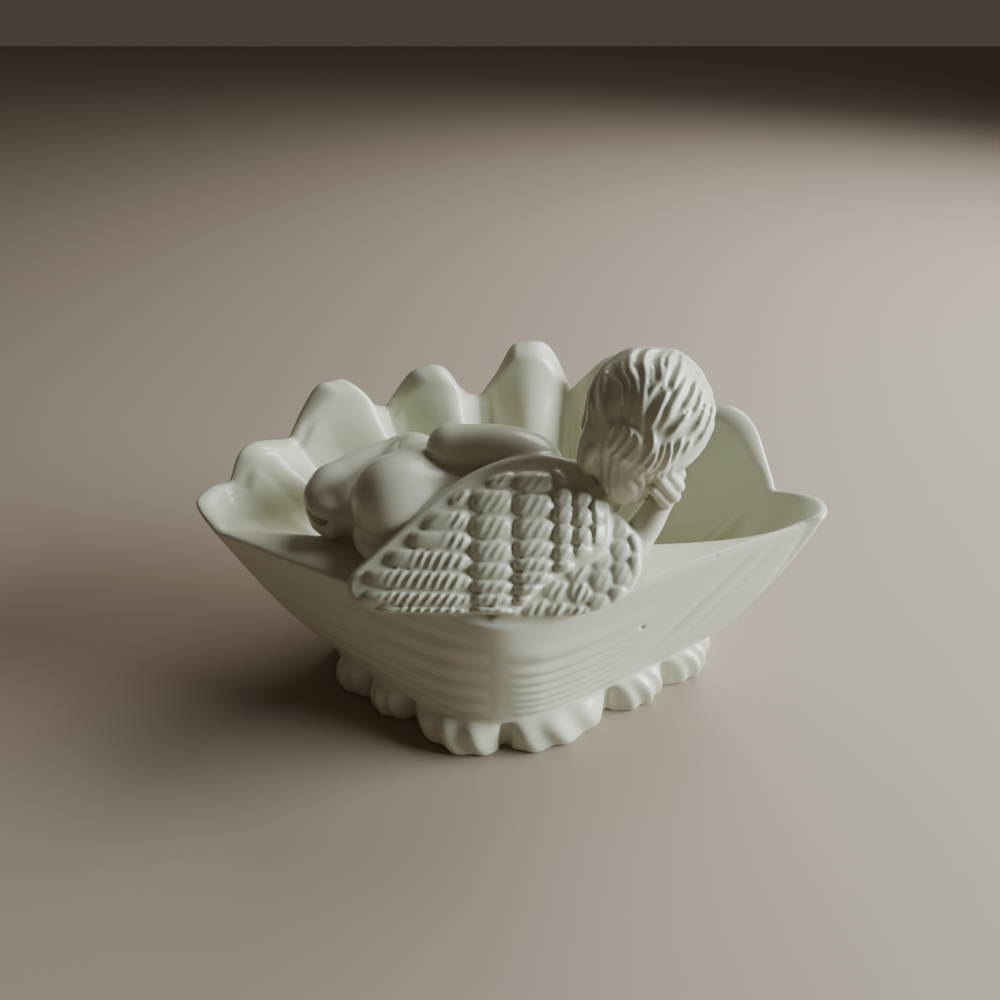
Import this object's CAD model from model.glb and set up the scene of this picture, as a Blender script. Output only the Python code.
import itertools
import math

import bpy
import numpy as np
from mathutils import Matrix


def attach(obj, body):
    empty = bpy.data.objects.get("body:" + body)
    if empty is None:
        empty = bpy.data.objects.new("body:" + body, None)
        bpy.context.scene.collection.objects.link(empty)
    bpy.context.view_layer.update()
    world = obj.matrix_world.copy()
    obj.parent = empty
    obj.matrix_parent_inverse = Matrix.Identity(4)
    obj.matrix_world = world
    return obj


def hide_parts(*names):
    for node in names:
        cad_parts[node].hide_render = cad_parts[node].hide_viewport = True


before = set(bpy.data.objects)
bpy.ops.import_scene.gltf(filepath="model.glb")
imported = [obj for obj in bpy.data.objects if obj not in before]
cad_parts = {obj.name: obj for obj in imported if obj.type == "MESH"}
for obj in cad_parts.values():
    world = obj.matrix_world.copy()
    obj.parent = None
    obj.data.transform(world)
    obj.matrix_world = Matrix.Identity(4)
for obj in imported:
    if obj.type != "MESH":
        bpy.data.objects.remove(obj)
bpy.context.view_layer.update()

import openvdb

# The camera looks down at the hinge side, as in the photograph. The floor is a plain pale sheet,
# and soft light comes from a window low on the right, with a weaker one high up beyond it.
MM = 0.001
DEPTH_MIDDLE = -1.414
CAMERA_AT = (-2.6 * MM, (-144.0 - DEPTH_MIDDLE) * MM, 148.0 * MM)
CAMERA_PITCH = 36.0
CAMERA_LENS = 26.0
FLOOR_SIZE = 3.0
FLOOR_AT = (0.0, 0.55, 0.0)
FLOOR_COLOUR = (0.36, 0.275, 0.215, 1.0)
ROOM_COLOUR = (1.0, 0.84, 0.66, 1.0)
ROOM_STRENGTH = 0.070

camera_data = bpy.data.cameras.new("camera")
camera_data.lens = CAMERA_LENS
camera_data.sensor_width = 36.0
camera_data.clip_start = 0.01
camera = bpy.data.objects.new("camera", camera_data)
camera.location = CAMERA_AT
camera.rotation_euler = (math.radians(90.0 - CAMERA_PITCH), 0.0, 0.0)
bpy.context.collection.objects.link(camera)
bpy.context.scene.camera = camera


def soft_light(name, at, target, size, power, colour):
    data = bpy.data.lights.new(name, "AREA")
    data.shape = "DISK"
    data.size = size
    data.energy = power
    data.color = colour
    lamp = bpy.data.objects.new(name, data)
    lamp.location = at
    aim = [t - a for t, a in zip(target, at)]
    flat = math.hypot(aim[0], aim[1])
    lamp.rotation_euler = (math.atan2(flat, -aim[2]), 0.0, math.atan2(-aim[0], aim[1]))
    bpy.context.collection.objects.link(lamp)


soft_light("window_light", (0.71, -0.02, 0.27), (0.0, 0.0, 0.04), 0.50, 15.4, (0.86, 1.0, 1.03))
soft_light("far_light", (0.36, 0.46, 0.56), (0.0, 0.0, 0.05), 0.50, 4.0, (0.95, 1.0, 0.98))

world = bpy.data.worlds.new("room")
world.use_nodes = True
world.node_tree.nodes["Background"].inputs["Color"].default_value = ROOM_COLOUR
world.node_tree.nodes["Background"].inputs["Strength"].default_value = ROOM_STRENGTH
bpy.context.scene.world = world

bpy.ops.object.select_all(action="DESELECT")
bpy.ops.mesh.primitive_plane_add(size=FLOOR_SIZE, location=FLOOR_AT)
floor = bpy.context.active_object
floor.name = "pale_floor"
floor_paint = bpy.data.materials.new("pale_floor_paint")
floor_paint.use_nodes = True
floor_shader = floor_paint.node_tree.nodes["Principled BSDF"]
floor_shader.inputs["Base Color"].default_value = FLOOR_COLOUR
floor_shader.inputs["Roughness"].default_value = 0.6
floor.data.materials.append(floor_paint)

# The dish is a clam shell with eight lobes and a broad ledge along its hinge side, cast in cream in
# one with all that it carries. Its faces are drawn as closed rings, in mm, and become a block of
# distances. Every other form is blended into that block before the surface is drawn off it.
PITCH = 0.38
BLOCK_LOW = np.array([-75.0, -49.0, -3.0])
BLOCK_HIGH = np.array([75.0, 44.0, 96.0])
BLOCK_SHAPE = tuple(int(n) for n in np.ceil((BLOCK_HIGH - BLOCK_LOW) / PITCH))
FOOT_HEIGHT = 11.0
FLOOR_TOP = 16.0
DISH_FLOOR_AT = (3.0, -1.0)
DISH_FLOOR_REACH = (38.0, 12.0)
FAR_FOOT_AT = (3.5, -15.0)
FAR_FOOT_REACH = (46.8, 33.0)
NEAR_FOOT_LEFT = -43.3
NEAR_FOOT_RIGHT = 50.3
NEAR_FOOT_KEEL = (-4.0, -40.5)
LEDGE_HEIGHT = 43.0
LOBE_PEAKS = (
    (71.8, -12, 50.3),
    (56, 18.5, 59.8),
    (32, 35, 66),
    (6.9, 40, 67.7),
    (-20.4, 34.5, 63.4),
    (-44.6, 28, 62.4),
    (-61.8, 7.5, 55.8),
    (-72, -11.5, 51),
)
VALLEYS = (
    (64.5, -1.5, 46.6),
    (44, 28, 53.5),
    (17.3, 35.5, 55),
    (-7.8, 34.5, 54.3),
    (-34.1, 29.5, 52.9),
    (-58, 17, 50.3),
    (-67.7, -3, 50),
)
# How far each lobe rises towards its peak at nine even steps, from its right valley to its left one
LOBE_RISES = (
    (0, 0.5, 0.75, 0.92, 1, 1.03, 0.97, 0.72, 0),
    (0, 0.5, 0.93, 1.05, 0.97, 0.75, 0.5, 0.22, 0),
    (0, 0.35, 0.68, 0.92, 1, 0.95, 0.75, 0.38, 0),
    (0, 0.37, 0.72, 0.94, 1, 0.99, 0.91, 0.4, 0),
    (0, 0.06, 0.35, 0.81, 0.99, 0.97, 0.87, 0.48, 0),
    (0, 0.14, 0.39, 0.75, 0.98, 1.01, 1, 0.62, 0),
    (0, 0.22, 0.49, 0.74, 0.96, 1.13, 1.17, 0.93, 0),
    (0, 0.56, 0.78, 0.95, 1, 0.85, 0.6, 0.3, 0),
)
LOBE_STEPS = 64
HINGE_STEPS = 300
HINGE_END_X = 66.0
KEEL_X = -3.0
RIM_THICKNESS = 3.2
THINNEST_WALL = 3.0
PETAL_BULGES = (2.8, 4.8, 6.4, 7.6, 7.6, 7.0, 5.4, 3.0)
PETAL_SHARE = 0.86
PETAL_FULL_AT = 0.6
PETAL_AT_RIM = 0.6
PETAL_DROP = 1.6
RIB_BULGE = 2.0
RIB_BREADTH = 0.09
OUTER_FLUTE = 1.6
OUTER_CENTRE_Y = -6.0
INNER_CENTRE_Y = -4.0
HINGE_Y = -43.0
HINGE_END_RISE = 6.0
LEDGE_DISH = 0.8
LEDGE_BULGE = 2.5
WALL_ROWS = 150
LIP_ROWS = 24
INNER_ROWS = 90


def vee(x, keel, apex, rounding, left, right):
    # A V in plan with a rounded point at the keel
    slope = np.where(x < keel, left, right)
    return apex - rounding + np.hypot(rounding, slope * (x - keel))


def hinge_edge(x):
    # The outer edge of the ledge, which rises towards both ends
    rise = HINGE_END_RISE * (np.abs(x - KEEL_X) / (HINGE_END_X - KEEL_X)) ** 1.5
    return np.stack([x, vee(x, KEEL_X, HINGE_Y, 2.5, 0.42, 0.41), LEDGE_HEIGHT + rise], axis=-1)


def wall_foot(turn):
    # Where the wall meets the foot: half an oval on the far side, and a soft V at the hinge
    x = FAR_FOOT_AT[0] + FAR_FOOT_REACH[0] * np.cos(turn)
    far = np.stack([x, FAR_FOOT_AT[1] + FAR_FOOT_REACH[1] * np.sin(turn)], axis=-1)
    x = NEAR_FOOT_LEFT + (NEAR_FOOT_RIGHT - NEAR_FOOT_LEFT) * (turn / math.pi - 1.0)
    near = np.stack([x, vee(x, *NEAR_FOOT_KEEL, 8.0, 0.72, 0.6)], axis=-1)
    return np.where((turn < math.pi)[..., None], far, near)


def curved(a, b, c, d, t):
    # A share t of the way from b to c, on the smooth curve that also passes a and d
    return 0.5 * (2 * b + (c - a) * t + (2 * a - 5 * b + 4 * c - d) * t**2 + (3 * b - a - 3 * c + d) * t**3)


def lobe_rise(lobe, step):
    # A smooth curve through the nine rises
    knots = np.array(LOBE_RISES[lobe], float)
    ends = np.concatenate([[2 * knots[0] - knots[1]], knots, [2 * knots[-1] - knots[-2]]])
    place = np.clip((step + 1.0) / 2.0 * (len(knots) - 1), 0.0, len(knots) - 1 - 1e-9)
    i = place.astype(int)
    t = place - i
    a, b, c, d = (ends[i + k] for k in range(4))
    return curved(a, b, c, d, t)


def dish_columns():
    # The rim point by point, round the eight lobes from the right and back along the hinge
    ends = hinge_edge(np.array([HINGE_END_X, -HINGE_END_X]))
    valleys = np.array([ends[0], *VALLEYS, ends[1]], float)
    rim, across, turn, hinge, bulge = [], [], [], [], []
    step = 2.0 * np.arange(LOBE_STEPS) / LOBE_STEPS - 1.0
    for lobe, peak in enumerate(LOBE_PEAKS):
        share = ((step + 1.0) / 2.0)[:, None]
        line = valleys[lobe] + (valleys[lobe + 1] - valleys[lobe]) * share
        rise = np.array(peak, float) - (valleys[lobe] + valleys[lobe + 1]) / 2.0
        rim.append(line + rise * lobe_rise(lobe, step)[:, None])
        across.append(step)
        turn.append(math.pi * (lobe + (step + 1.0) / 2.0) / len(LOBE_PEAKS))
        hinge.append(np.zeros(LOBE_STEPS))
        bulge.append(np.full(LOBE_STEPS, PETAL_BULGES[lobe]))
    share = np.arange(HINGE_STEPS) / HINGE_STEPS
    rim.append(hinge_edge(HINGE_END_X * (2.0 * share - 1.0)))
    across.append(np.zeros(HINGE_STEPS))
    turn.append(math.pi * (1.0 + share))
    hinge.append(np.sin(math.pi * share) ** 0.35)
    bulge.append(np.full(HINGE_STEPS, LEDGE_BULGE))
    return [np.concatenate(column) for column in (rim, across, turn, hinge, bulge)]


def outward(x, y, centre_y):
    # The level direction away from a centre on the y axis
    length = np.hypot(x, y - centre_y)
    return np.stack([x / length, (y - centre_y) / length], axis=-1)


def petal(across):
    # How full a lobe is across its breadth
    return np.maximum(0.0, 1.0 - (across / PETAL_SHARE) ** 2) ** 0.75


rim, across, turn, hinge, bulge = dish_columns()
foot_line = wall_foot(turn)
round_turn = np.stack([np.cos(turn), np.sin(turn)], axis=-1)
floor_line = np.array(DISH_FLOOR_AT) + np.array(DISH_FLOOR_REACH) * round_turn

RIGHT_RIDGE = 0.95
RIGHT_RIDGE_SHARES = (0.0, 0.10, 0.17, 0.25, 0.34, 0.44, 0.56, 0.76)
RIGHT_RIDGE_TURNS = (-1.0, 0.0, 1.0, 2.0, 3.0, 4.0, 5.0, 6.0)
LEFT_RIDGE = 1.15
LEFT_RIDGE_SHARES = (0.0, 0.16, 0.34, 0.52, 0.72, 0.95)
LEFT_RIDGE_TURNS = (-0.5, 0.5, 1.5, 2.5, 3.5, 4.5)
GROOVE_DEPTH = 0.55


def growth_ridges(x, share):
    # Curved ridges right of the keel, closer together lower down, and long faint ones left of it
    right = np.clip((x + 1.0) / 7.0, 0.0, 1.0) * np.clip((34.0 - x) / 18.0, 0.0, 1.0)
    left = np.clip((-5.0 - x) / 9.0, 0.0, 1.0) * np.clip((x + 58.0) / 14.0, 0.0, 1.0)
    bowl = share - 0.00022 * (x - 10.0) ** 2
    right_turns = np.interp(bowl, RIGHT_RIDGE_SHARES, RIGHT_RIDGE_TURNS)
    left_turns = np.interp(share + 0.0022 * (x + 30.0), LEFT_RIDGE_SHARES, LEFT_RIDGE_TURNS)
    right_wave = (0.5 - 0.5 * np.cos(2.0 * math.pi * right_turns)) ** 0.7
    left_wave = (0.5 - 0.5 * np.cos(2.0 * math.pi * left_turns)) ** 0.7
    right_fade = 1.0 - np.clip((share - 0.70) / 0.14, 0.0, 1.0)
    left_fade = 1.0 - np.clip((share - 0.84) / 0.1, 0.0, 1.0)
    return RIGHT_RIDGE * right * right_wave * right_fade + LEFT_RIDGE * left * left_wave * left_fade


def wall_grooves(x, share):
    # Slanted shallow hollows that run down the wall below the right tip
    slope = x - 30.0 * share
    two = np.exp(-(((slope - 25.0) / 1.6) ** 2)) + 0.8 * np.exp(-(((slope - 32.0) / 1.4) ** 2))
    high_fade = np.clip((0.97 - share) / 0.08, 0.0, 1.0)
    return -GROOVE_DEPTH * two * np.clip((share - 0.25) / 0.2, 0.0, 1.0) * high_fade


def wall_curve(x):
    # The wall bellies out more on the right than on the left
    return 0.78 - 0.0018 * x


def outer_wall(share):
    # One ring of the outer face, at a share of the wall's height
    out = (share ** wall_curve(rim[:, 0]))[:, None]
    place = foot_line + (rim[:, :2] - foot_line) * out
    flute = OUTER_FLUTE * (1.0 - hinge) * petal(across) * math.sin(math.pi * share**0.8)
    near = (turn > math.pi) * np.clip(hinge * 1.6 - 0.3, 0.0, 1.0)
    carved = near * (growth_ridges(place[:, 0], share) + wall_grooves(place[:, 0], share))
    place = place + outward(place[:, 0], place[:, 1], OUTER_CENTRE_Y) * (flute + carved)[:, None]
    return np.column_stack([place, FOOT_HEIGHT + (rim[:, 2] - FOOT_HEIGHT) * share])


def inner_rim():
    # The inner edge of the lip, and of the ledge
    inwards = outward(rim[:, 0], rim[:, 1], INNER_CENTRE_Y) * RIM_THICKNESS
    lip_edge = rim - np.column_stack([inwards, np.full(len(rim), 0.6)])
    along = (rim[:, 0] + HINGE_END_X) / (2.0 * HINGE_END_X)
    back = np.column_stack([rim[:, 0] * 0.93, -12.0 - 7.0 * along, rim[:, 2] - LEDGE_DISH])
    return lip_edge + (back - lip_edge) * hinge[:, None]


def petal_swell(share):
    # How full a petal is at a share of the height of the wall
    if share < PETAL_FULL_AT:
        return math.sin(math.pi / 2.0 * share / PETAL_FULL_AT) ** 1.3
    past = (share - PETAL_FULL_AT) / (1.0 - PETAL_FULL_AT)
    return 1.0 - (1.0 - PETAL_AT_RIM) * (0.5 - 0.5 * math.cos(math.pi * past))


def thickened(points):
    # Moves the inner face in where the wall would be thinner than it is cast
    above = points[:, 2:] > rim[None, :, 2] + 1.0
    share = np.clip((points[:, 2:] - FOOT_HEIGHT) / (rim[None, :, 2] - FOOT_HEIGHT), 0.0, 1.0)
    out = share ** wall_curve(rim[None, :, 0])
    x = foot_line[None, :, 0] + (rim[None, :, 0] - foot_line[None, :, 0]) * out
    y = foot_line[None, :, 1] + (rim[None, :, 1] - foot_line[None, :, 1]) * out
    wall = np.hypot(points[:, 0:1] - x, points[:, 1:2] - y)
    thin = np.maximum(0.0, THINNEST_WALL - np.where(above, 99.0, wall).min(axis=1))
    points[:, :2] -= outward(points[:, 0], points[:, 1], INNER_CENTRE_Y) * thin[:, None]
    return points


def inner_wall(share):
    # One ring of the inner face, swollen into petals between the ribs
    top = inner_rim()
    place = floor_line + (top[:, :2] - floor_line) * share**0.6
    rib = RIB_BULGE * np.exp(-(((1.0 - np.abs(across)) / RIB_BREADTH) ** 2))
    full = petal(across) * (1.0 - hinge)
    swell = bulge * full * petal_swell(share) + rib * (1.0 - hinge) * math.sin(math.pi * share**1.15)
    place = place - outward(place[:, 0], place[:, 1], INNER_CENTRE_Y) * swell[:, None]
    wall = np.column_stack([place, FLOOR_TOP + (top[:, 2] - PETAL_DROP * full - FLOOR_TOP) * share])
    return thickened(wall) if share < 0.97 else wall


def lip(share):
    # Half-round over the thin rim, and a flat top with rounded edges over the broad ledge
    top = inner_wall(1.0)
    broad = np.clip(hinge * 1.4 - 0.3, 0.0, 1.0)
    raised = (1.0 - np.abs(2.0 * share - 1.0) ** (2.2 + 10.0 * broad)) ** (0.6 + 0.4 * broad)
    place = rim + (top - rim) * share
    place[:, 2] += (1.15 - 0.25 * broad) * raised
    return place


def closed_rings(rings):
    # Quads from ring to ring, and a fan of triangles over each end
    count = len(rings[0])
    poles = [ring.mean(axis=0, keepdims=True) for ring in (rings[0], rings[-1])]
    points = np.concatenate([poles[0], *rings, poles[1]])
    ring = np.arange(len(rings) - 1)[:, None] * count + 1
    here = np.arange(count)[None, :]
    after = (here + 1) % count
    quads = np.stack([ring + here, ring + after, ring + count + after, ring + count + here], axis=-1)
    first = np.stack([np.zeros(count, int), after[0] + 1, here[0] + 1], axis=-1)
    start = 1 + (len(rings) - 1) * count
    last = np.stack([np.full(count, len(points) - 1), start + here[0], start + after[0]], axis=-1)
    return points, quads.reshape(-1, 4), np.concatenate([first, last])


DISTANCE_BAND = 8.0


def draw_into(points, quads, triangles):
    # A closed surface becomes distances on the same grid as the block
    scaled = ((points - BLOCK_LOW) / PITCH).astype(np.float32)
    grid = openvdb.FloatGrid.createLevelSetFromPolygons(
        scaled,
        triangles=triangles.astype(np.uint32),
        quads=quads.astype(np.uint32),
        transform=openvdb.createLinearTransform(1.0),
        halfWidth=DISTANCE_BAND,
    )
    made = np.empty(BLOCK_SHAPE, np.float32)
    grid.copyToArray(made, ijk=(0, 0, 0))
    return made * PITCH


def softened(block, times):
    # Rounds every edge a little, as glaze and the mould do
    for _ in range(times):
        for axis in range(3):
            ahead = np.roll(block, -1, axis)
            behind = np.roll(block, 1, axis)
            block = 0.5 * block + 0.25 * (ahead + behind)
    return block


dish_rings = [outer_wall(0.0) - np.array([0.0, 0.0, 2.0])]
dish_rings += [outer_wall(share) for share in np.linspace(0.0, 1.0, WALL_ROWS)]
dish_rings += [lip(share) for share in np.linspace(0.0, 1.0, LIP_ROWS)[1:-1]]
dish_rings += [inner_wall(share) for share in np.linspace(1.0, 0.0, INNER_ROWS)]
casting = softened(draw_into(*closed_rings(dish_rings)), 2)

# The foot is a ring of twelve small scallops with three flutes each, cast in one with the dish. It is
# drawn as flat rings from the table up, and its underside is flat, round a shallow oval recess.
FOOT_VALLEYS = (0.0, 0.1, 0.206, 0.447, 0.72, 0.87, 1.0)
FOOT_SHELLS = 12
FOOT_STEPS = 60
FOOT_REACH = 4.6
FOOT_FLUTE = 0.6
FOOT_BREADTH = 0.9
FOOT_MIDDLE = np.array([3.0, -10.0])
# (height, how far the scallops stand out there)
FOOT_LEVELS = (
    (0.0, 0.8),
    (0.4, 0.93),
    (1.2, 1.0),
    (3.0, 1.06),
    (5.0, 1.06),
    (7.0, 0.95),
    (8.6, 0.72),
    (9.8, 0.4),
    (10.8, -0.2),
    (12.0, -1.0),
)
RECESS_AT = (3.0, -11.0)
RECESS_RADII = (32.0, 17.0)
RECESS_DEPTH = 2.5


def foot_ring(z, bulge):
    # One level ring round all the scallops; on the far side they are evenly spaced
    spare = FOOT_SHELLS - len(FOOT_VALLEYS) + 1
    edges = [1.0 + share for share in FOOT_VALLEYS] + [2.0 + shell / spare for shell in range(1, spare + 1)]
    step = 2.0 * np.arange(FOOT_STEPS) / FOOT_STEPS - 1.0
    turns = [a + (b - a) * (step + 1.0) / 2.0 for a, b in zip(edges, edges[1:])]
    foot_turn = math.pi * np.concatenate(turns)
    foot_across = np.tile(step, FOOT_SHELLS)
    edge = wall_foot(np.where(foot_turn >= 2.0 * math.pi, foot_turn - 2.0 * math.pi, foot_turn))
    away = edge - FOOT_MIDDLE
    away /= np.hypot(away[:, 0], away[:, 1])[:, None]
    slanted = np.clip(foot_across + 0.035 * (z - 4.0), -1.0, 1.0)
    fade = np.maximum(0.0, 1.0 - np.abs(foot_across) / FOOT_BREADTH) ** 0.5
    flute = FOOT_FLUTE * np.cos(3.5 * math.pi * slanted) * fade
    shell = FOOT_REACH * np.sqrt(np.maximum(0.0, 1.0 - (foot_across / FOOT_BREADTH) ** 2)) + flute
    edge = edge + away * (shell * bulge - 1.0)[:, None]
    return np.column_stack([edge, np.full(len(edge), z)])


def region(low, high):
    # The part of the block between two corners, and its places along each axis
    first = np.maximum(0, np.floor((np.array(low) - BLOCK_LOW) / PITCH)).astype(int)
    last = np.minimum(BLOCK_SHAPE, np.ceil((np.array(high) - BLOCK_LOW) / PITCH).astype(int) + 1)
    window = tuple(slice(a, b) for a, b in zip(first, last))
    line = [(BLOCK_LOW[i] + PITCH * np.arange(first[i], last[i])).astype(np.float32) for i in range(3)]
    return window, line[0][:, None, None], line[1][None, :, None], line[2][None, None, :]


def soft_min(a, b, soft):
    # Joins two forms with a fillet
    if soft <= 0.0:
        return np.minimum(a, b)
    meet = np.maximum(soft - np.abs(a - b), 0.0) / soft
    return np.minimum(a, b) - meet * meet * soft * 0.25


def soft_max(a, b, soft):
    return -soft_min(-a, -b, soft)


def cut(block, window, shape, soft):
    block[window] = soft_max(block[window], -shape, soft)


foot = draw_into(*closed_rings([foot_ring(z, bulge) for z, bulge in FOOT_LEVELS]))
casting = soft_min(casting, foot, 0.8)
window, x, y, z = region((-40, -40, -3), (45, 20, 5))
recess_x = (x - RECESS_AT[0]) / RECESS_RADII[0]
recess_y = (y - RECESS_AT[1]) / RECESS_RADII[1]
recess = np.maximum((np.sqrt(recess_x**2 + recess_y**2) - 1.0) * RECESS_RADII[1], z - RECESS_DEPTH)
cut(casting, window, recess, 0.6)

# The cherub's body lies along the ledge on its right side, with its back to the hinge and its legs
# drawn up over the dish, one foot on the other. It is cast in one with the ledge: each limb is a
# rod through a few stations of a place and a radius, and the plumper forms are ovals.
FAR_OFF = 4.0
CURVE_STEPS = 6


def new_block():
    return np.full(BLOCK_SHAPE, FAR_OFF, np.float32)


def add(block, window, shape, soft):
    block[window] = soft_min(block[window], shape, soft)


def through(stations, steps):
    # A smooth curve through the stations
    points = np.array(stations, float)
    ends = np.vstack([2 * points[0] - points[1], points, 2 * points[-1] - points[-2]])
    curve = []
    for i in range(1, len(ends) - 2):
        for t in np.arange(steps) / steps:
            a, b, c, d = ends[i - 1 : i + 3]
            curve.append(curved(a, b, c, d, t))
    curve.append(points[-1])
    return np.array(curve)


def limb_shape(stations, reach):
    # A rod with round ends, along a smooth curve through its stations
    curve = through(stations, CURVE_STEPS)
    low = (curve[:, :3] - curve[:, 3:]).min(axis=0) - reach
    high = (curve[:, :3] + curve[:, 3:]).max(axis=0) + reach
    window, x, y, z = region(low, high)
    shape = np.full(np.broadcast_shapes(x.shape, y.shape, z.shape), 99.0, np.float32)
    for a, b in zip(curve, curve[1:]):
        along = b[:3] - a[:3]
        length = max(float(along @ along), 1e-6)
        t = ((x - a[0]) * along[0] + (y - a[1]) * along[1] + (z - a[2]) * along[2]) / length
        t = np.clip(t, 0.0, 1.0)
        aside = (x - a[0] - t * along[0], y - a[1] - t * along[1], z - a[2] - t * along[2])
        gap = np.sqrt(aside[0] ** 2 + aside[1] ** 2 + aside[2] ** 2)
        shape = np.minimum(shape, gap - (a[3] + (b[3] - a[3]) * t))
    return window, shape


def limb(block, stations, soft=2.0):
    window, shape = limb_shape(stations, 2.0 + soft)
    add(block, window, shape, soft)


def oval_shape(at, radii, reach, turned=None):
    # An oval ball, turned to three axes of its own where they are given
    radii = np.array(radii, float)
    spread = np.array([max(radii)] * 3) + reach if turned is not None else radii + reach
    window, x, y, z = region(np.array(at) - spread, np.array(at) + spread)
    x, y, z = x - at[0], y - at[1], z - at[2]
    if turned is not None:
        x, y, z = (m[0] * x + m[1] * y + m[2] * z for m in turned)
    near = np.sqrt((x / radii[0]) ** 2 + (y / radii[1]) ** 2 + (z / radii[2]) ** 2)
    slope = np.sqrt((x / radii[0] ** 2) ** 2 + (y / radii[1] ** 2) ** 2 + (z / radii[2] ** 2) ** 2)
    return window, (near * (near - 1.0) / np.maximum(slope, 1e-4)).astype(np.float32)


def oval(block, at, radii, soft=2.0, turned=None):
    window, shape = oval_shape(at, radii, 2.0 + soft, turned)
    add(block, window, shape, soft)


flesh = new_block()
BACK_STATIONS = (
    (17, -20, 59, 6.5),
    (10, -18, 55.5, 10.0),
    (0, -17, 54.5, 10.3),
    (-10, -17, 54.8, 10.2),
    (-20, -17.5, 55.5, 10.8),
)
limb(flesh, BACK_STATIONS)
oval(flesh, (-23.8, -20.5, 58.0), (10.3, 9.8, 10.3), 2.5)
oval(flesh, (-25.5, -21.0, 50.5), (9.0, 9.5, 7.0), 1.2)
right_leg = new_block()
limb(right_leg, [(-24, -14, 51, 7.5), (-24.5, -4, 49.5, 6.5), (-26, 3, 49, 5.6)])
limb(right_leg, [(-26, 2, 49.5, 5.6), (-31, -5, 49.4, 5.6), (-37, -11, 49.8, 5.0), (-41, -14.5, 50.2, 4.2)])
limb(right_leg, [(-39.6, -13, 50.8, 4.2), (-41.2, -15.5, 50.2, 3.9), (-40.0, -17.6, 49.6, 3.3)], 1.5)
left_leg = new_block()
limb(left_leg, [(-21, -15, 58, 8.0), (-22, -4, 56, 7.4), (-23.5, 1.8, 54.6, 5.8)])
limb(left_leg, [(-23.5, 2.2, 54.3, 5.6), (-28, -2, 55.2, 6), (-34, -7, 55.7, 5.6), (-40, -11.5, 55.7, 4.8)])
limb(left_leg, [(-39.5, -11.5, 55.6, 4.7), (-41.6, -14, 55.0, 4.3), (-41.8, -16.2, 53.8, 3.7)], 1.5)
oval(left_leg, (-32.5, -13.5, 51.6), (9.0, 6.8, 5.6))
flesh = soft_min(soft_min(flesh, left_leg, 2.0), right_leg, 1.4)
limb(flesh, [(-31.5, -15.5, 49.6, 3.6), (-35.5, -15.5, 47.2, 3.4)], 1.5)
limb(flesh, [(-23.0, -10.0, 58.0, 5.0), (-29.5, -8.5, 56.5, 3.6)])
between_feet = [(-45.6, -17.2, 54.6, 0.8), (-42.6, -19.0, 52.4, 0.9), (-38.6, -19.0, 50.6, 0.4)]
window, crease = limb_shape(between_feet, 2.0)
cut(flesh, window, crease, 0.8)

# Both arms: the left lies along the flank with its hand towards the dish; the right stands on its
# elbow and holds the cheek. They are rods like the legs, with plain fingers close together.
arms = new_block()
limb(arms, [(6.5, -17.5, 61.6, 5.6), (4.0, -16, 65.2, 5.7), (-3, -14.4, 66.8, 5.5), (-12.9, -13, 66.4, 5.2)])
limb(arms, [(-12.9, -12.8, 66.2, 5.0), (-8, -3, 60.6, 4.2), (0, 4, 55.6, 3.3)], 1.5)
oval(arms, (2.4, 5.2, 54.6), (3.8, 3.6, 2.2), 1.2)
limb(arms, [(16, -24, 53.0, 4.8), (20.0, -26.0, 51.6, 4.3), (24.8, -26.6, 51.4, 4.0)])
limb(arms, [(24.9, -26.4, 51.8, 4.0), (27.6, -25.8, 56.0, 3.4), (29.6, -25.0, 60.4, 2.9)], 1.2)
oval(arms, (31.2, -24.8, 64.0), (2.5, 2.9, 3.6), 1.2)
LEFT_FINGERS = (
    ((3.6, 7.0, 55.0), (6.6, 8.4, 53.4)),
    ((4.2, 5.4, 55.1), (8.3, 6.4, 53.0)),
    ((4.4, 3.8, 55.0), (8.7, 4.1, 52.9)),
    ((4.0, 2.4, 54.8), (7.6, 1.9, 53.1)),
)
for base, tip in LEFT_FINGERS:
    limb(arms, [(*base, 1.3), (*tip, 0.95)], 0.5)
RIGHT_FINGERS = (
    ((32.6, -26.2, 68.6), (30.4, -27.2, 72.6)),
    ((32.6, -27.0, 66.4), (29.4, -28.2, 71.2)),
    ((32.0, -27.4, 64.2), (28.2, -28.8, 69.4)),
    ((30.8, -27.2, 62.4), (27.2, -28.4, 67.0)),
)
for base, tip in RIGHT_FINGERS:
    limb(arms, [(*base, 1.35), (*tip, 1.15)], 0.25)
limb(arms, [(1.6, 7.4, 55.2, 1.3), (3.2, 9.8, 54.8, 1.0)], 0.5)
flesh = soft_min(flesh, arms, 1.2)

# The head rests on the right hand and looks down into the dish. It is made of ovals about its own
# three axes, with a plain child's face: cheeks, closed lids, brows, nose, lips, chin and ears.
HEAD_AT = np.array([26.3, -19.0, 78.3])
face_way = np.array([-0.25, 0.88, -0.40])
face_way /= np.linalg.norm(face_way)
head_up = np.array([0.06, 0.30, 0.95])
head_up -= face_way * (head_up @ face_way)
head_up /= np.linalg.norm(head_up)
head_side = np.cross(face_way, head_up)
HEAD_TURN = np.array([head_side, face_way, head_up])


def on_head(side, front, up):
    return HEAD_AT + side * head_side + front * face_way + up * head_up


def hollow(block, at, radii, soft, turned=None):
    window, shape = oval_shape(at, radii, 1.0 + soft, turned)
    cut(block, window, shape, soft)


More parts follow.
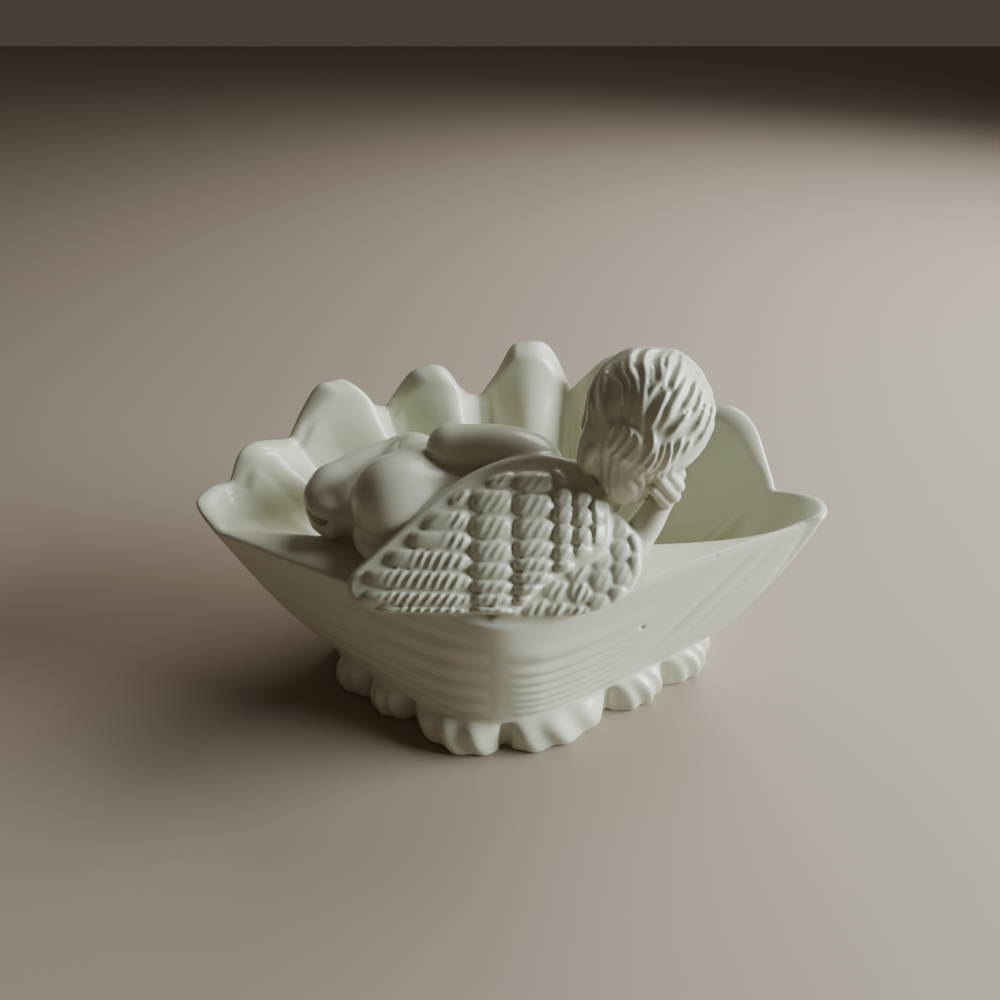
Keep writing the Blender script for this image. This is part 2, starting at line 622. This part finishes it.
head = new_block()
oval(head, on_head(0, 0, 0), (12.0, 12.6, 12.4), 0.0, HEAD_TURN)
oval(head, on_head(0, 4.2, -6.2), (9.4, 8.4, 8.2), 3.0, HEAD_TURN)
limb(head, [(*on_head(-1, -2, -6), 6.6), (22.6, -21.5, 66.5, 4.8), (18, -20, 58, 5.0)], 2.0)
for side in (-1.0, 1.0):
    oval(head, on_head(4.5 * side, 9.0, -6.0), (3.5, 3.2, 3.2), 1.8, HEAD_TURN)
    hollow(head, on_head(4.0 * side, 12.9, -1.4), (2.3, 1.5, 1.5), 1.4, HEAD_TURN)
    oval(head, on_head(3.9 * side, 10.8, -1.6), (1.9, 1.6, 1.3), 0.3, HEAD_TURN)
    brow = ((1.6 * side, 12.5, 0.6, 0.5), (3.9 * side, 12.1, 1.3, 0.6), (6.0 * side, 10.6, 0.5, 0.4))
    limb(head, [(*on_head(*place), radius) for *place, radius in brow], 0.9)
    oval(head, on_head(11.4 * side, -0.8, -3.2), (1.5, 2.3, 2.9), 0.5, HEAD_TURN)
nose = ((0, 12.0, -0.6, 0.9), (0, 13.1, -3.4, 1.1), (0, 13.6, -4.5, 1.35))
limb(head, [(*on_head(*place), radius) for *place, radius in nose], 0.9)
oval(head, on_head(0, 12.6, -8.4), (2.4, 1.0, 0.9), 0.5, HEAD_TURN)
oval(head, on_head(0, 12.2, -9.9), (2.0, 1.0, 0.85), 0.4, HEAD_TURN)
oval(head, on_head(0, 10.6, -12.0), (2.4, 2.2, 2.0), 1.2, HEAD_TURN)

# The hair is combed in waved locks that stand up from the head and stop at the hairline. Towards
# the hinge each lock is a line of (across, up) points, as seen by the camera, and a half width;
# round the far side plain waves run down from the crown.
HAIR_LOCKS = (
    (
        (
            (-0.2, 12.2), (-3.4, 11.4), (-4.9, 9.4), (-5.3, 6.9), (-4.5, 4.5),
            (-4.3, 1.6), (-4.9, -1.4), (-5.2, -3.7), (-4.8, -5.9),
        ),
        0.95,
    ),
    (
        (
            (1.4, 11.8), (-1.4, 10.5), (-2.7, 8.0), (-2.7, 5.5), (-3.1, 2.9),
            (-3.4, 0.2), (-3.4, -2.4), (-2.9, -4.9), (-1.9, -6.7),
        ),
        0.85,
    ),
    (
        (
            (2.2, 10.6), (0.6, 8.4), (0.2, 6.0), (0.0, 4.3),
            (-1.3, 3.0), (-2.3, 1.0), (-2.6, -1.4), (-2.1, -3.9),
        ),
        0.75,
    ),
    (((4.1, 10.8), (2.2, 8.8), (1.2, 6.1), (0.5, 4.1), (0.2, 1.6), (-0.4, -1.0)), 0.7),
    (((5.3, 9.8), (4.1, 6.9), (2.7, 4.3), (1.8, 2.2), (1.2, 0.4)), 0.8),
    (
        (
            (6.9, 8.4), (5.7, 5.9), (4.1, 3.5), (2.9, 1.4),
            (1.7, -0.6), (0.9, -2.5), (0.1, -4.4), (-0.8, -6.0),
        ),
        0.85,
    ),
    (((8.4, 6.1), (6.9, 4.1), (6.1, 2.0), (4.9, 0.2), (3.4, -1.5), (1.8, -2.5)), 0.7),
    (((9.2, 4.1), (8.0, 2.2), (7.3, 0.0), (5.7, -2.2), (4.0, -4.0)), 0.7),
    (((10.2, 2.6), (9.1, 0.9), (8.4, -1.4), (7.3, -3.8), (5.6, -5.4), (3.3, -6.6)), 0.7),
    (((11.5, 3.0), (11.0, 0.5), (10.2, -2.5), (8.8, -5.3), (7.2, -7.3), (4.9, -8.3)), 0.7),
    (((12.6, 2.4), (12.4, -1.0), (11.4, -4.4), (9.4, -7.2)), 0.6),
    (((-8.1, 5.5), (-7.1, 3.6), (-7.0, 1.6), (-7.8, -0.4), (-8.6, -1.4)), 0.85),
    (((-6.3, 3.0), (-5.9, 1.0), (-6.6, -0.8)), 0.4),
    (((-6.7, -3.0), (-6.8, -4.7), (-7.8, -6.7), (-8.8, -8.2), (-10.0, -8.9)), 0.65),
    (((-8.2, -3.4), (-9.0, -5.3), (-9.7, -6.9)), 0.55),
    (((-5.7, -3.7), (-5.3, -5.3), (-6.5, -7.7), (-8.0, -9.2), (-9.6, -10.0)), 0.65),
    (((-4.5, -4.9), (-3.9, -6.9), (-5.3, -9.2), (-7.3, -10.8), (-8.8, -11.4)), 0.7),
    (((-3.2, -6.2), (-3.6, -8.6), (-5.3, -10.8), (-7.0, -12.4)), 0.65),
    (((-1.3, -5.3), (-1.2, -7.6), (-2.2, -9.8), (-3.8, -12.2), (-5.3, -14.0)), 0.75),
    (((-0.4, -6.9), (-0.6, -9.6), (-1.8, -12.0), (-3.0, -13.9), (-4.3, -15.5)), 0.7),
    (((1.0, -7.6), (0.6, -9.8), (-0.4, -11.8), (-1.0, -13.9)), 0.6),
    (((2.2, -7.3), (2.2, -9.6), (1.6, -12.0), (0.6, -14.3)), 0.65),
    (((4.1, -6.9), (3.4, -9.2), (2.6, -11.6)), 0.6),
    (((5.7, -7.3), (4.7, -9.4)), 0.55),
    (((-11.3, 7.5), (-12.0, 3.5), (-11.9, -0.5), (-11.0, -4.0)), 0.8),
    (((-8.2, 9.4), (-9.6, 6.6), (-10.2, 3.0), (-9.9, -0.8), (-9.0, -4.2)), 0.8),
    (((-3.4, 11.0), (-6.0, 9.0), (-6.6, 6.6), (-5.8, 4.4), (-5.7, 1.6), (-6.3, -1.4), (-6.1, -4.2)), 0.7),
    (((-1.6, 8.4), (-1.4, 5.6), (-2.0, 2.8), (-2.4, 0.0), (-3.0, -3.0)), 0.55),
    (((1.4, 3.0), (0.4, 0.8), (-0.6, -1.4), (-1.6, -3.6), (-2.6, -5.6)), 0.7),
    (((3.0, 0.6), (2.0, -1.2), (1.0, -3.0), (-0.2, -5.2)), 0.6),
    (((5.2, -1.4), (3.8, -3.2), (2.4, -4.8), (1.0, -6.4)), 0.65),
    (((-7.0, 6.4), (-7.4, 4.0), (-7.2, 1.2), (-7.6, -2.0), (-7.8, -5.0)), 0.6),
    (((-4.4, 8.0), (-4.2, 5.4), (-3.4, 3.0), (-3.6, 0.6), (-4.2, -2.0)), 0.5),
    (((-6.2, -9.4), (-6.6, -12.0), (-7.0, -14.4)), 0.6),
    (((-2.6, -12.0), (-4.0, -14.4), (-5.4, -16.4)), 0.65),
    (((0.4, -12.4), (-1.6, -14.8), (-3.8, -16.8)), 0.6),
    (((-9.0, -5.0), (-9.2, -8.2), (-8.4, -11.4), (-7.8, -13.6)), 0.6),
    (((-10.2, 10.0), (-11.4, 7.0), (-12.2, 4.0), (-12.4, 0.0)), 0.9),
    (((-13.4, -2.0), (-14.0, -4.6), (-12.6, -7.8), (-10.6, -9.4)), 0.8),
)
LOCK_HEIGHT = 1.55
# (place across the lock, share of its height) of the three strands in each lock
FINE_STRANDS = ((-1.2, 0.55), (0.0, 1.0), (1.2, 0.55))
VIEW_UP = np.array([0.0, math.sin(math.radians(CAMERA_PITCH)), math.cos(math.radians(CAMERA_PITCH))])
VIEW_OUT = np.array([0.0, -math.cos(math.radians(CAMERA_PITCH)), math.sin(math.radians(CAMERA_PITCH))])
HAIR_STEP = 0.12
HAIR_CORNER = (-17.0, -18.0)
hair_across = np.arange(HAIR_CORNER[0], 17.0, HAIR_STEP)[:, None]
hair_up = np.arange(HAIR_CORNER[1], 16.0, HAIR_STEP)[None, :]
combed = np.zeros(np.broadcast_shapes(hair_across.shape, hair_up.shape))
for (line, half), (aside, share) in itertools.product(HAIR_LOCKS, FINE_STRANDS):
    root = (2.0 * line[0][0] - line[1][0], 2.0 * line[0][1] - line[1][1])
    curve = through([root, *line], CURVE_STEPS)
    way = np.gradient(curve, axis=0)
    way /= np.hypot(way[:, 0], way[:, 1])[:, None]
    curve = curve + aside * half * np.column_stack([-way[:, 1], way[:, 0]])
    lengths = np.linspace(0.0, 1.0, len(curve))
    tallest = LOCK_HEIGHT * min(1.0, half / 0.7) * share
    for number in range(len(curve) - 1):
        a, b = curve[number], curve[number + 1]
        run, rise = b - a
        t = ((hair_across - a[0]) * run + (hair_up - a[1]) * rise) / (run * run + rise * rise + 1e-9)
        t = np.clip(t, 0.0, 1.0)
        gap = np.hypot(hair_across - a[0] - t * run, hair_up - a[1] - t * rise)
        taper = 0.55 + 0.45 * math.sin(math.pi * min(1.0, 0.12 + 0.8 * lengths[number]))
        fade = min(1.0, 0.1 + 2.6 * lengths[number], 2.6 * (1.0 - lengths[number]))
        wide = half * (0.65 + 0.5 * share) * taper
        bump = np.sqrt(np.maximum(0.0, 1.0 - (gap / wide) ** 2))
        combed = np.maximum(combed, tallest * fade * bump)

HAIRLINE_HEIGHTS = (-16.0, -10.0, -6.0, 0.0, 6.0, 12.0)
HAIRLINE_FRONTS = (4.5, 3.0, 1.0, 3.0, 7.0, 9.5)
HAIR_REACH = 20.0
window, x, y, z = region(HEAD_AT - HAIR_REACH, HEAD_AT + HAIR_REACH)
x, y, z = x - HEAD_AT[0], y - HEAD_AT[1], z - HEAD_AT[2]
reach = np.sqrt(x * x + y * y + z * z) + 1e-3
CROWN_WAY = np.array([0.05, 0.25, 0.96])
CROWN_WAY /= np.linalg.norm(CROWN_WAY)
crown_side = np.cross([0.0, 1.0, 0.0], CROWN_WAY)
crown_side /= np.linalg.norm(crown_side)
crown_back = np.cross(CROWN_WAY, crown_side)
to_crown = (x * CROWN_WAY[0] + y * CROWN_WAY[1] + z * CROWN_WAY[2]) / reach
down = np.arccos(np.clip(to_crown, -1.0, 1.0))
round_head = np.arctan2(
    x * crown_back[0] + y * crown_back[1] + z * crown_back[2],
    x * crown_side[0] + y * crown_side[1] + z * crown_side[2],
)
swing = round_head + 0.16 * np.sin(3.4 * down + 1.3 * np.sin(3.0 * round_head))
lock = np.abs(np.cos(14.0 * swing + 0.8 * np.sin(4.0 * round_head)))
waves = (0.85 * lock**0.6 + 0.3) * np.clip(down / 0.35, 0.25, 1.0)


def sampled(sheet, first, step, u, v):
    # Reads a sheet of heights between its points
    u = np.clip((u - first[0]) / step, 0, sheet.shape[0] - 2)
    v = np.clip((v - first[1]) / step, 0, sheet.shape[1] - 2)
    i, j = u.astype(int), v.astype(int)
    fu, fv = u - i, v - j
    low_row = sheet[i, j] * (1 - fu) + sheet[i + 1, j] * fu
    high_row = sheet[i, j + 1] * (1 - fu) + sheet[i + 1, j + 1] * fu
    return low_row * (1 - fv) + high_row * fv


seen_up = y * VIEW_UP[1] + z * VIEW_UP[2] + 0.0 * x
seen_out = (y * VIEW_OUT[1] + z * VIEW_OUT[2] + 0.0 * x) / reach
drawn = sampled(combed, HAIR_CORNER, HAIR_STEP, x + 0.0 * seen_up, seen_up)
facing = np.clip((seen_out - 0.25) / 0.30, 0.0, 1.0)
edge_on = np.clip(np.abs(seen_out) / 0.35, 0.0, 1.0)
relief = drawn * facing + waves * (0.35 + 0.65 * edge_on) * (1.0 - facing)
hair_side, hair_front, hair_height = (m[0] * x + m[1] * y + m[2] * z for m in HEAD_TURN)
skull = np.sqrt((hair_side / 12.2) ** 2 + (hair_front / 12.5) ** 2 + (hair_height / 12.8) ** 2)
hair = (skull - 1.0) * 12.3
side_bulge = np.sqrt(((x + 11.4) / 3.0) ** 2 + ((y + 0.5) / 6.5) ** 2 + ((z + 6.5) / 5.5) ** 2)
hair = soft_min(hair, (side_bulge - 1.0) * 3.6, 2.5)
nape = np.sqrt(((x + 3.2) / 5.6) ** 2 + ((y + 5.5) / 4.6) ** 2 + ((z + 10.6) / 6.2) ** 2)
hair = soft_min(hair, (nape - 1.0) * 5.0, 2.5) - relief + 0.35
hairline = np.interp(hair_height, HAIRLINE_HEIGHTS, HAIRLINE_FRONTS)
hair = soft_max(hair, 0.75 * (hair_front - hairline - 1.1 * lock), 1.2)
add(head, window, hair.astype(np.float32), 0.3)

figure = soft_min(flesh, head, 0.8)

# The wings are folded back over the body on one sloping plane, the far one showing past the near
# one. Their feathers are drawn on that plane as heights: long barbed primaries, columns of short
# ones, and small rounded knobs, and each wing is then blended onto the back.
WING_LEAN = math.radians(46.0)
WING_AT = np.array([0.0, -42.6, 44.6])
WING_THICKNESS = 3.4
WING_LOW = (-37.0, -47.0, 40.0)
WING_HIGH = (29.0, -12.0, 74.0)
SHEET_STEP = 0.12
sheet_x = np.arange(-38.0, 30.0, SHEET_STEP)[:, None]
sheet_up = np.arange(-4.0, 40.0, SHEET_STEP)[None, :]


def bezier(a, b, c, d, steps=14):
    t = (np.arange(1, steps + 1) / steps)[:, None]
    a, b, c, d = (np.array(p, float) for p in (a, b, c, d))
    return (1 - t) ** 3 * a + 3 * (1 - t) ** 2 * t * b + 3 * (1 - t) * t**2 * c + t**3 * d


def outline_distance(points):
    inside = np.zeros(np.broadcast_shapes(sheet_x.shape, sheet_up.shape), bool)
    best = np.full(inside.shape, 99.0)
    for a, b in zip(points, np.roll(points, -1, axis=0)):
        run, rise = b - a
        t = ((sheet_x - a[0]) * run + (sheet_up - a[1]) * rise) / (run * run + rise * rise + 1e-9)
        t = np.clip(t, 0.0, 1.0)
        best = np.minimum(best, np.hypot(sheet_x - a[0] - t * run, sheet_up - a[1] - t * rise))
        if rise != 0.0:
            between = (a[1] > sheet_up) != (b[1] > sheet_up)
            inside ^= between & (sheet_x < run * (sheet_up - a[1]) / rise + a[0])
    return np.where(inside, -best, best)


def feather_height(at, half, height, slant, barbs, edge, smooth=0.1):
    # A pillow with a flat upper edge and a rounded lower one, crossed by slanting barbs
    u = (sheet_x - at[0]) * math.cos(slant) + (sheet_up - at[1]) * math.sin(slant)
    v = -(sheet_x - at[0]) * math.sin(slant) + (sheet_up - at[1]) * math.cos(slant)
    up_share = np.abs(v / half[1])
    spread = np.abs(u / half[0]) ** edge + np.where(v > 0.0, up_share**3.4, up_share**1.9)
    body = np.maximum(0.0, 1.0 - spread) ** 0.6
    tilt = 0.84 + 0.14 * v / half[1]
    wobble = 0.5 * np.sin(0.9 * sheet_up + at[0]) + 0.4 * np.sin(0.55 * sheet_x - 1.3 * at[1])
    barb = 0.5 + 0.5 * np.cos(2.0 * math.pi * (sheet_x - 0.62 * sheet_up) / 1.95 + wobble)
    worn = np.clip((u / half[0] + 1.0 - 2.0 * smooth) * 2.0, 0.0, 1.0)
    return height * body * tilt + barbs * 0.8 * (barb - 0.55) * worn * np.clip(body * 2.0 - 0.5, 0.0, 1.0)


def wing(block, outline, heights, under, dome):
    # A thin slab on the sloping plane, cut to its outline, with its heights on top
    distance = outline_distance(outline)
    height = heights + dome - under
    window, x, y, z = region(WING_LOW, WING_HIGH)
    back = (y - WING_AT[1]) * math.cos(WING_LEAN) + (z - WING_AT[2]) * math.sin(WING_LEAN)
    lift = -(y - WING_AT[1]) * math.sin(WING_LEAN) + (z - WING_AT[2]) * math.cos(WING_LEAN)
    sheet_corner = (sheet_x[0, 0], sheet_up[0, 0])
    across = x + 0.0 * back
    back = back + 0.0 * x
    top = (lift - sampled(height, sheet_corner, SHEET_STEP, across, back)) * 0.85
    bottom = -(lift + WING_THICKNESS + under)
    edge = sampled(distance, sheet_corner, SHEET_STEP, across, back)
    shape = soft_max(soft_max(top, bottom, 1.0), edge, 1.6)
    add(block, window, shape.astype(np.float32), 0.5)


near_outline = np.concatenate(
    [
        bezier((19.8, 17), (21, 26), (16, 33.5), (6, 34)),
        bezier((6, 34), (-6, 33.5), (-14, 26.5), (-20, 20.5)),
        bezier((-31, 11), (-35.5, 7), (-33, 2.2), (-26, 1.6)),
        bezier((0, 0.4), (3, 5), (8, 9), (13, 10.5)),
        bezier((13, 10.5), (17, 11.5), (19.4, 14), (19.8, 17)),
    ]
)
far_outline = np.concatenate(
    [
        np.array([(-4, 0.6)], float),
        bezier((-4, 0.6), (8, -0.4), (19, 1), (24, 6)),
        bezier((24, 6), (28, 11), (27, 18), (20.5, 22.5)),
        np.array([(9, 16)], float),
    ]
)

feathers = np.zeros(np.broadcast_shapes(sheet_x.shape, sheet_up.shape))
# (left end, right end, height up the wing, half breadth, slope, share left smooth) of the long ones
PRIMARIES = (
    (-27.2, -8.0, 1.7, 1.15, -0.02, 0.1),
    (-29.9, -8.0, 4.4, 1.5, -0.03, 0.1),
    (-29.4, -8.2, 8.1, 2.0, -0.05, 0.1),
    (-25.6, -8.4, 12.0, 2.0, -0.06, 0.2),
    (-20.8, -8.6, 15.8, 2.0, -0.04, 0.5),
    (-18.4, -8.8, 19.8, 2.05, 0.0, 0.5),
)
for left, right, up, breadth, slope, smooth in PRIMARIES:
    half = ((right - left) / 2.0, breadth)
    long_feather = feather_height(((left + right) / 2.0, up), half, 1.5, slope, 0.68, 5.0, smooth)
    feathers = np.maximum(feathers, long_feather)
# (centre, half width, then each feather's height up the wing and half breadth) of the columns
COLUMNS = (
    (-4.3, 4.1, ((1.9, 1.0), (4.2, 1.2), (6.7, 1.4), (9.8, 1.8), (13.7, 2.2), (18.4, 2.55), (23.6, 2.6))),
    (4.0, 4.0, ((3.9, 1.1), (6.0, 1.15), (8.3, 1.3), (10.9, 1.45))),
    (4.0, 4.0, ((14.1, 1.85), (18.1, 2.25), (22.8, 2.5), (27.6, 2.1))),
    (10.0, 1.95, ((10.6, 1.1), (13.4, 1.7), (17.1, 2.0), (20.9, 1.9), (24.4, 1.9))),
    (13.8, 1.9, ((13.4, 1.3), (16.6, 1.95), (20.5, 2.0), (24.2, 1.9))),
    (17.2, 1.6, ((17.2, 2.3), (22.0, 2.4))),
)
for centre, width, rows in COLUMNS:
    for up, breadth in rows:
        barbs = 0.34 if width > 2.0 else 0.2
        short_feather = feather_height((centre, up), (width, breadth), 1.55, -0.03, barbs, 3.2)
        feathers = np.maximum(feathers, short_feather)
# (centre, half sizes, slope) of three small slanting feathers under the top edge
SLANTING = (
    ((-2.4, 28.0), (3.0, 1.3), 0.3),
    ((9.6, 28.2), (1.0, 2.2), 0.5),
    ((-10.6, 24.4), (2.4, 1.3), 0.5),
)
for at, half, slope in SLANTING:
    feathers = np.maximum(feathers, feather_height(at, half, 1.2, slope, 0.5, 2.4))
band = np.clip((-outline_distance(near_outline) - 1.6) / 1.8, 0.0, 1.0)
near_heights = np.where(sheet_up > 12.0, feathers * band, feathers)
rounded_edge = 1.0 - np.clip(-outline_distance(near_outline) / 3.2, 0.0, 1.0)
edge_height = np.where(sheet_up > 9.0, np.interp(sheet_x, (6.0, 13.0), (0.7, 0.0)), 0.0)
near_heights = near_heights + edge_height * (1.0 - (1.0 - rounded_edge) ** 2) * rounded_edge
dome = 2.4 * (1.0 - ((sheet_x + 4.0) / 34.0) ** 2) * (1.0 - ((sheet_up - 17.0) / 21.0) ** 2)
wings = new_block()

# Small knobs of the far wing: (place across and up, half sizes, slope)
KNOBS = (
    (4.6, 2.6, 3.0, 1.5, 0.35),
    (8.6, 6.0, 2.6, 2.0, 0.5),
    (9.0, 2.2, 2.6, 1.5, 0.2),
    (13.1, 9.8, 2.5, 2.1, 0.6),
    (13.3, 5.6, 2.3, 2.3, 0.3),
    (12.8, 1.7, 2.5, 1.5, 0.1),
    (17.6, 12.6, 2.2, 2.4, 0.2),
    (17.6, 8.0, 2.3, 2.4, 0.1),
    (17.0, 3.6, 2.3, 2.0, 0.0),
    (21.6, 14.0, 2.0, 2.3, 0.1),
    (21.7, 9.4, 2.0, 2.4, -0.1),
    (20.9, 5.2, 1.9, 1.9, -0.2),
    (24.6, 11.2, 1.4, 2.2, 0.0),
    (21.6, 18.4, 2.0, 1.9, 0.2),
    (25.0, 15.6, 1.5, 2.0, 0.2),
)
KNOB_HEIGHT = 0.7
FAR_WING_DROP = 1.1
knobs = np.zeros_like(feathers)
for across_mm, up_mm, half_across, half_up, slope in KNOBS:
    barbs = 0.6 if across_mm < 15.0 else 0.2
    at = (across_mm, up_mm)
    knobs = np.maximum(knobs, feather_height(at, (half_across, half_up), KNOB_HEIGHT, slope, barbs, 2.2))
wing(wings, far_outline, knobs, FAR_WING_DROP, dome * 0.5)
wing(wings, near_outline, near_heights, 0.0, dome)

figure = soft_min(figure, wings, 0.5)
casting = soft_min(casting, figure, 1.4)

# The damage that the photograph shows, in m: one small pit low on the right wall, and two faint
# nicks beside it, which are only stains. The pit is cut into the finished casting.
PIT_AT = (0.02914, -0.02961, 0.0308)
NICK_HIGH = (0.04432, -0.02379, 0.04705)
NICK_LOW = (0.03891, -0.02559, 0.03486)
PIT_RADII = (0.75, 0.6, 0.6)
pit_place = [PIT_AT[0] / MM, PIT_AT[1] / MM + DEPTH_MIDDLE, PIT_AT[2] / MM]
hollow(casting, pit_place, PIT_RADII, 0.3)

# The whole ornament is one cream casting with a thin soft gloss. Its surface is drawn off the block
# as one closed mesh, set down flat on the table, and thinned where it is plain.
UNDERSIDE_SNAP = 0.25
grid = openvdb.FloatGrid(background=FAR_OFF)
grid.copyFromArray(np.clip(casting, -FAR_OFF, FAR_OFF))
points, _, quads = grid.convertToPolygons(isovalue=0.0, adaptivity=0.0)
points = points.astype(np.float64) * PITCH + BLOCK_LOW
points[:, 1] -= DEPTH_MIDDLE
points[:, 2] = np.where(points[:, 2] < UNDERSIDE_SNAP, 0.0, points[:, 2])
mesh = bpy.data.meshes.new("cherub_shell_dish_cast")
mesh.vertices.add(len(points))
mesh.vertices.foreach_set("co", (points * MM).astype(np.float32).ravel())
mesh.loops.add(quads.size)
mesh.loops.foreach_set("vertex_index", quads.astype(np.int32).ravel())
mesh.polygons.add(len(quads))
mesh.polygons.foreach_set("loop_start", (np.arange(len(quads)) * 4).astype(np.int32))
mesh.update(calc_edges=True)
mesh.validate()
cast_piece = bpy.data.objects.new("cherub_shell_dish_cast", mesh)
bpy.context.collection.objects.link(cast_piece)
bpy.ops.object.select_all(action="DESELECT")
bpy.context.view_layer.objects.active = cast_piece
cast_piece.select_set(True)
TRIANGLES_KEPT = 190000
thin = cast_piece.modifiers.new("thin", "DECIMATE")
thin.ratio = TRIANGLES_KEPT / (2.0 * len(quads))
bpy.ops.object.modifier_apply(modifier="thin")
cast_piece.data.validate()
bpy.ops.object.shade_smooth()

cream = bpy.data.materials.new("cream_casting")
cream.use_nodes = True
cream_nodes = cream.node_tree.nodes
cream_links = cream.node_tree.links
cream_shader = cream_nodes["Principled BSDF"]
cream_shader.inputs["Coat Weight"].default_value = 0.4
cream_shader.inputs["Coat Roughness"].default_value = 0.16
places = cream_nodes.new("ShaderNodeTexCoord")
clouds = cream_nodes.new("ShaderNodeTexNoise")
clouds.inputs["Scale"].default_value = 42.0
clouds.inputs["Detail"].default_value = 3.0
cream_links.new(places.outputs["Object"], clouds.inputs["Vector"])
tints = cream_nodes.new("ShaderNodeMix")
tints.data_type = "RGBA"
tints.inputs["A"].default_value = (0.68, 0.65, 0.495, 1.0)
tints.inputs["B"].default_value = (0.65, 0.645, 0.52, 1.0)
cream_links.new(clouds.outputs["Fac"], tints.inputs["Factor"])
sheen = cream_nodes.new("ShaderNodeMapRange")
sheen.inputs["To Min"].default_value = 0.30
sheen.inputs["To Max"].default_value = 0.44
cream_links.new(clouds.outputs["Fac"], sheen.inputs["Value"])
cream_links.new(sheen.outputs["Result"], cream_shader.inputs["Roughness"])
# (place, radius, darkness) of the stain in the pit and on each nick
MARKS = (
    (PIT_AT, 0.00075, 0.75),
    (NICK_HIGH, 0.0006, 0.35),
    (NICK_LOW, 0.0005, 0.3),
)
colour = tints.outputs["Result"]
for place, radius, darkness in MARKS:
    gap = cream_nodes.new("ShaderNodeVectorMath")
    gap.operation = "DISTANCE"
    gap.inputs[1].default_value = place
    cream_links.new(places.outputs["Object"], gap.inputs[0])
    spot = cream_nodes.new("ShaderNodeMapRange")
    spot.inputs["From Min"].default_value = radius * 0.35
    spot.inputs["From Max"].default_value = radius
    spot.inputs["To Min"].default_value = darkness
    spot.inputs["To Max"].default_value = 0.0
    cream_links.new(gap.outputs["Value"], spot.inputs["Value"])
    stain = cream_nodes.new("ShaderNodeMix")
    stain.data_type = "RGBA"
    stain.inputs["B"].default_value = (0.07, 0.055, 0.035, 1.0)
    cream_links.new(spot.outputs["Result"], stain.inputs["Factor"])
    cream_links.new(colour, stain.inputs["A"])
    colour = stain.outputs["Result"]
cream_links.new(colour, cream_shader.inputs["Base Color"])
cast_piece.data.materials.append(cream)

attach(cast_piece, "root")
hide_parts("cherub_shell_dish")
